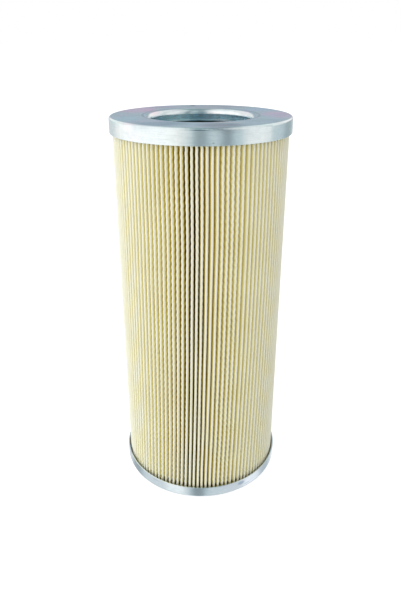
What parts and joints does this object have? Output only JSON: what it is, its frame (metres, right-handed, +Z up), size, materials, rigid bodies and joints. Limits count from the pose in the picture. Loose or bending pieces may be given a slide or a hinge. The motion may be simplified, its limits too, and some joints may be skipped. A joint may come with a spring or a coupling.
{
  "type": "pleated filter element",
  "caption": "Cylindrical pleated-paper filter element with zinc-plated sheet-steel end caps, a perforated core tube, an outlet bore in the upper cap and a closed lower cap.",
  "frame": {"origin": "centre of the lower cap's outer face, where the element stands", "axes": "+Z up the element's axis, from the closed lower cap to the outlet bore in the upper cap; -Y is the side with the closest pleats, and the paper's side seam is on the +Y side"},
  "size_m": [0.1, 0.1, 0.2244],
  "materials": {
    "cap_steel": "bright zinc plated, faintly iridescent",
    "core_steel": "plated perforated sheet",
    "filter_paper": "resin-treated, finely corrugated",
    "adhesive": "cured potting adhesive"
  },
  "bodies": {
    "root": {"upper_end_cap": "cap_steel", "lower_end_cap": "cap_steel", "pleated_media": "filter_paper", "core_tube": "core_steel", "upper_adhesive_bed": "adhesive", "lower_adhesive_bed": "adhesive", "media_side_seam": "adhesive"}
  },
  "joints": []
}
